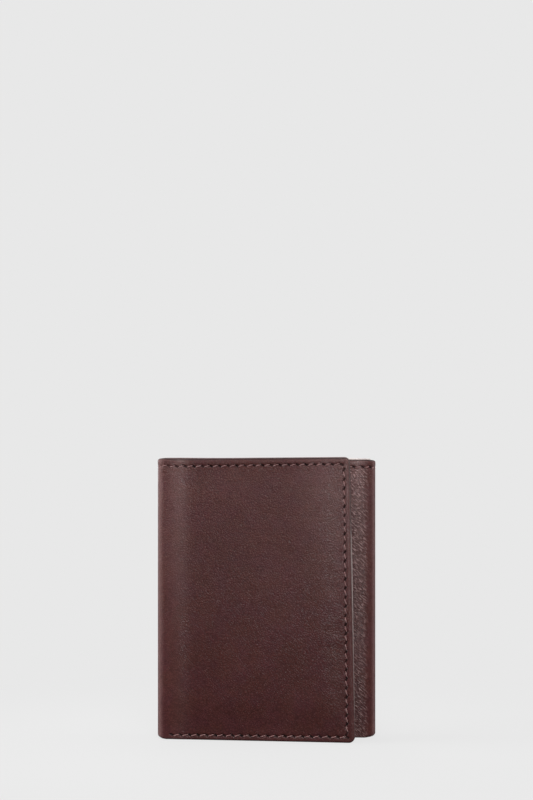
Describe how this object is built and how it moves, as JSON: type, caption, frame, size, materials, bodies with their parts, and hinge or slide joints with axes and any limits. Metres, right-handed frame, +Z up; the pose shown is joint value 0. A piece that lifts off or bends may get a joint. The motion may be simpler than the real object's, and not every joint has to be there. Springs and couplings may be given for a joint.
{
  "type": "trifold wallet",
  "caption": "Trifold leather wallet, closed upright: front flap and inner flap fold over a centre panel with card pockets, a clear window slot and a full-length note compartment.",
  "frame": {"origin": "middle of the closed wallet's footprint, on its lower edge", "axes": "+Z up along the folds, +Y out of the back of the centre panel, so the front flap faces -Y"},
  "size_m": [0.0866, 0.022, 0.1106],
  "materials": {
    "cover_leather": "smooth dark brown leather with a fine grain, satin",
    "wall_leather": "thin dark brown leather, satin",
    "pocket_leather": "thin dark brown leather, satin",
    "lining_cloth": "dark brown twill lining",
    "thread": "waxed reddish brown thread",
    "clear_window": "clear flexible sheet"
  },
  "bodies": {
    "back_panel": {"back_cover": "cover_leather", "back_lining": "lining_cloth", "back_inner_wall": "wall_leather", "back_hem_thread": "thread", "back_foot_thread": "thread", "back_top_pocket": "pocket_leather", "back_middle_pocket": "pocket_leather", "back_lower_pocket": "pocket_leather", "back_pocket_thread": "thread"},
    "left_fold": {"left_fold_cover": "cover_leather", "left_fold_lining": "lining_cloth", "left_fold_inner_wall": "wall_leather", "left_fold_thread": "thread"},
    "right_fold": {"right_fold_cover": "cover_leather", "right_fold_lining": "lining_cloth", "right_fold_inner_wall": "wall_leather", "right_fold_thread": "thread"},
    "front_flap": {"front_flap_cover": "cover_leather", "front_flap_lining": "lining_cloth", "front_flap_inner_wall": "wall_leather", "front_flap_hem_thread": "thread", "front_flap_seam_thread": "thread", "front_flap_top_pocket": "pocket_leather", "front_flap_lower_pocket": "pocket_leather", "front_flap_pocket_thread": "thread"},
    "inner_flap": {"inner_flap_cover": "cover_leather", "inner_flap_lining": "lining_cloth", "inner_flap_inner_wall": "wall_leather", "inner_flap_hem_thread": "thread", "inner_flap_seam_thread": "thread", "id_window_frame": "pocket_leather", "id_window_sheet": "clear_window", "id_window_thread": "thread"}
  },
  "joints": [
    {"name": "left_fold_hinge", "type": "hinge", "parent": "back_panel", "child": "left_fold", "pos_m": [-0.04179, 0.00954, 0], "axis": [0, 0, -1], "range_deg": [0, 90]},
    {"name": "front_flap_hinge", "type": "hinge", "parent": "left_fold", "child": "front_flap", "pos_m": [-0.04198, -0.00096, 0], "axis": [0, 0, -1], "range_deg": [0, 83.4]},
    {"name": "right_fold_hinge", "type": "hinge", "parent": "back_panel", "child": "right_fold", "pos_m": [0.04179, 0.00954, 0], "axis": [0, 0, 1], "range_deg": [0, 90]},
    {"name": "inner_flap_hinge", "type": "hinge", "parent": "right_fold", "child": "inner_flap", "pos_m": [0.04179, 0.00196, 0], "axis": [0, 0, 1], "range_deg": [0, 90]}
  ],
  "couplings": [
    {"joint": "front_flap_hinge", "follows": "left_fold_hinge", "ratio": 0.92667},
    {"joint": "right_fold_hinge", "follows": "left_fold_hinge", "ratio": 0.45},
    {"joint": "inner_flap_hinge", "follows": "left_fold_hinge", "ratio": 0.45}
  ]
}
